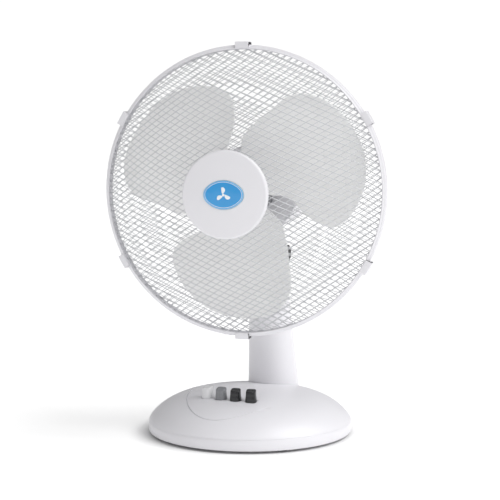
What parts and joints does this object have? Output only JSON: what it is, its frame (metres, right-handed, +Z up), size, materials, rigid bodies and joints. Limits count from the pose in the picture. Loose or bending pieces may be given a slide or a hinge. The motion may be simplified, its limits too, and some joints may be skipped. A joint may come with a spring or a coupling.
{
  "type": "desk fan",
  "caption": "Oscillating desk fan: round domed base with push buttons, leaning column, wire mesh guard and three-blade impeller.",
  "frame": {"origin": "on the table under the centre of the base", "axes": "+Z up, -Y the way the base faces, +X to the right seen from the front"},
  "size_m": [0.3388, 0.2697, 0.4678],
  "materials": {
    "white_shell": "satin moulded ABS",
    "white_wire": "white powder coat",
    "grey_blade": "satin moulded polypropylene",
    "black_plastic": "satin",
    "grey_plastic": "satin",
    "badge_blue": "printed gloss",
    "foot_rubber": "matte",
    "steel": "zinc plated",
    "cast_alloy": "die cast",
    "brass": "machined",
    "gear_plastic": "natural acetal",
    "copper_wire": "enamelled copper"
  },
  "bodies": {
    "base": {"base_cover": "white_shell", "base_plate": "white_shell", "rubber_feet": "foot_rubber", "base_screws": "steel", "switch_block": "black_plastic", "switch_screws": "steel", "run_capacitor": "white_shell", "terminal_block": "gear_plastic", "cord_gland": "black_plastic", "column": "white_shell", "column_screws": "steel", "tilt_bolt": "steel"},
    "off_key": {"button_off": "white_shell", "plunger_off": "white_shell"},
    "low_key": {"button_low": "grey_plastic", "plunger_low": "white_shell"},
    "medium_key": {"button_medium": "black_plastic", "plunger_medium": "white_shell"},
    "high_key": {"button_high": "black_plastic", "plunger_high": "white_shell"},
    "tilt_knob": {"tilt_knob": "black_plastic"},
    "neck": {"neck": "white_shell", "neck_screw": "steel"},
    "head": {"pivot_pin": "steel", "gearbox_case": "cast_alloy", "gearbox_lid": "cast_alloy", "rear_bracket": "cast_alloy", "front_bracket": "cast_alloy", "rear_bearing": "brass", "front_bearing": "brass", "bracket_bolts": "steel", "stator_core": "steel", "windings": "copper_wire", "motor_housing": "white_shell", "motor_front_cover": "white_shell", "cover_screws": "steel", "rear_guard": "white_wire", "guard_nut": "white_shell", "front_guard": "white_wire", "guard_ring": "white_shell", "guard_clips": "white_shell", "ring_screw": "steel", "centre_cap": "white_shell", "cap_back_plate": "white_shell", "cap_screws": "steel", "badge": "badge_blue"},
    "rotor": {"worm": "steel", "rotor_core": "steel", "shaft": "steel", "drive_pin": "steel", "impeller": "grey_blade", "spinner_nut": "white_shell"},
    "clutch_spindle": {"worm_wheel": "gear_plastic"},
    "output_crank": {"output_crank": "gear_plastic"},
    "crank_link": {"crank_link": "steel"},
    "oscillation_knob": {"oscillation_knob": "white_shell"}
  },
  "joints": [
    {"name": "off_press", "type": "slide", "parent": "base", "child": "off_key", "axis": [0, 0, -1], "range_m": [0, 0.004], "stiffness_N_per_m": 350, "springref_m": -0.004},
    {"name": "low_press", "type": "slide", "parent": "base", "child": "low_key", "axis": [0, 0, -1], "range_m": [0, 0.004], "stiffness_N_per_m": 350, "springref_m": -0.004},
    {"name": "medium_press", "type": "slide", "parent": "base", "child": "medium_key", "axis": [0, 0, -1], "range_m": [0, 0.004], "stiffness_N_per_m": 350, "springref_m": -0.004},
    {"name": "high_press", "type": "slide", "parent": "base", "child": "high_key", "axis": [0, 0, -1], "range_m": [0, 0.004], "stiffness_N_per_m": 350, "springref_m": -0.004},
    {"name": "tilt_knob_turn", "type": "hinge", "parent": "base", "child": "tilt_knob", "pos_m": [0.0165, 0.05, 0.214], "axis": [1, 0, 0], "range_deg": [-180, 180]},
    {"name": "head_tilt", "type": "hinge", "parent": "base", "child": "neck", "pos_m": [0, 0.05, 0.214], "axis": [-1, 0, 0], "range_deg": [-10, 20]},
    {"name": "oscillation", "type": "hinge", "parent": "neck", "child": "head", "pos_m": [0, 0.05, 0.254], "axis": [0, 0, 1], "range_deg": [-47.4, 28.2]},
    {"name": "link_swing", "type": "hinge", "parent": "neck", "child": "crank_link", "pos_m": [0.01571, 0.05305, 0.2565], "axis": [0, 0, 1], "range_deg": [-28.6, 40.1]},
    {"name": "impeller_spin", "type": "hinge", "parent": "head", "child": "rotor", "pos_m": [0.02066, -0.06719, 0.295], "axis": [0.1736, -0.9848, 0], "continuous": true},
    {"name": "clutch_turn", "type": "hinge", "parent": "head", "child": "clutch_spindle", "pos_m": [0.00883, 0.07593, 0.285], "axis": [0, 0, 1], "continuous": true},
    {"name": "crank_turn", "type": "hinge", "parent": "head", "child": "output_crank", "pos_m": [-0.00555, 0.07339, 0.265], "axis": [0, 0, 1], "continuous": true},
    {"name": "oscillation_knob_pull", "type": "slide", "parent": "head", "child": "oscillation_knob", "axis": [0, 0, 1], "range_m": [0, 0.006]}
  ],
  "couplings": [
    {"joint": "clutch_turn", "follows": "impeller_spin", "ratio": -0.027778},
    {"joint": "crank_turn", "follows": "impeller_spin", "ratio": 0.0092593}
  ]
}
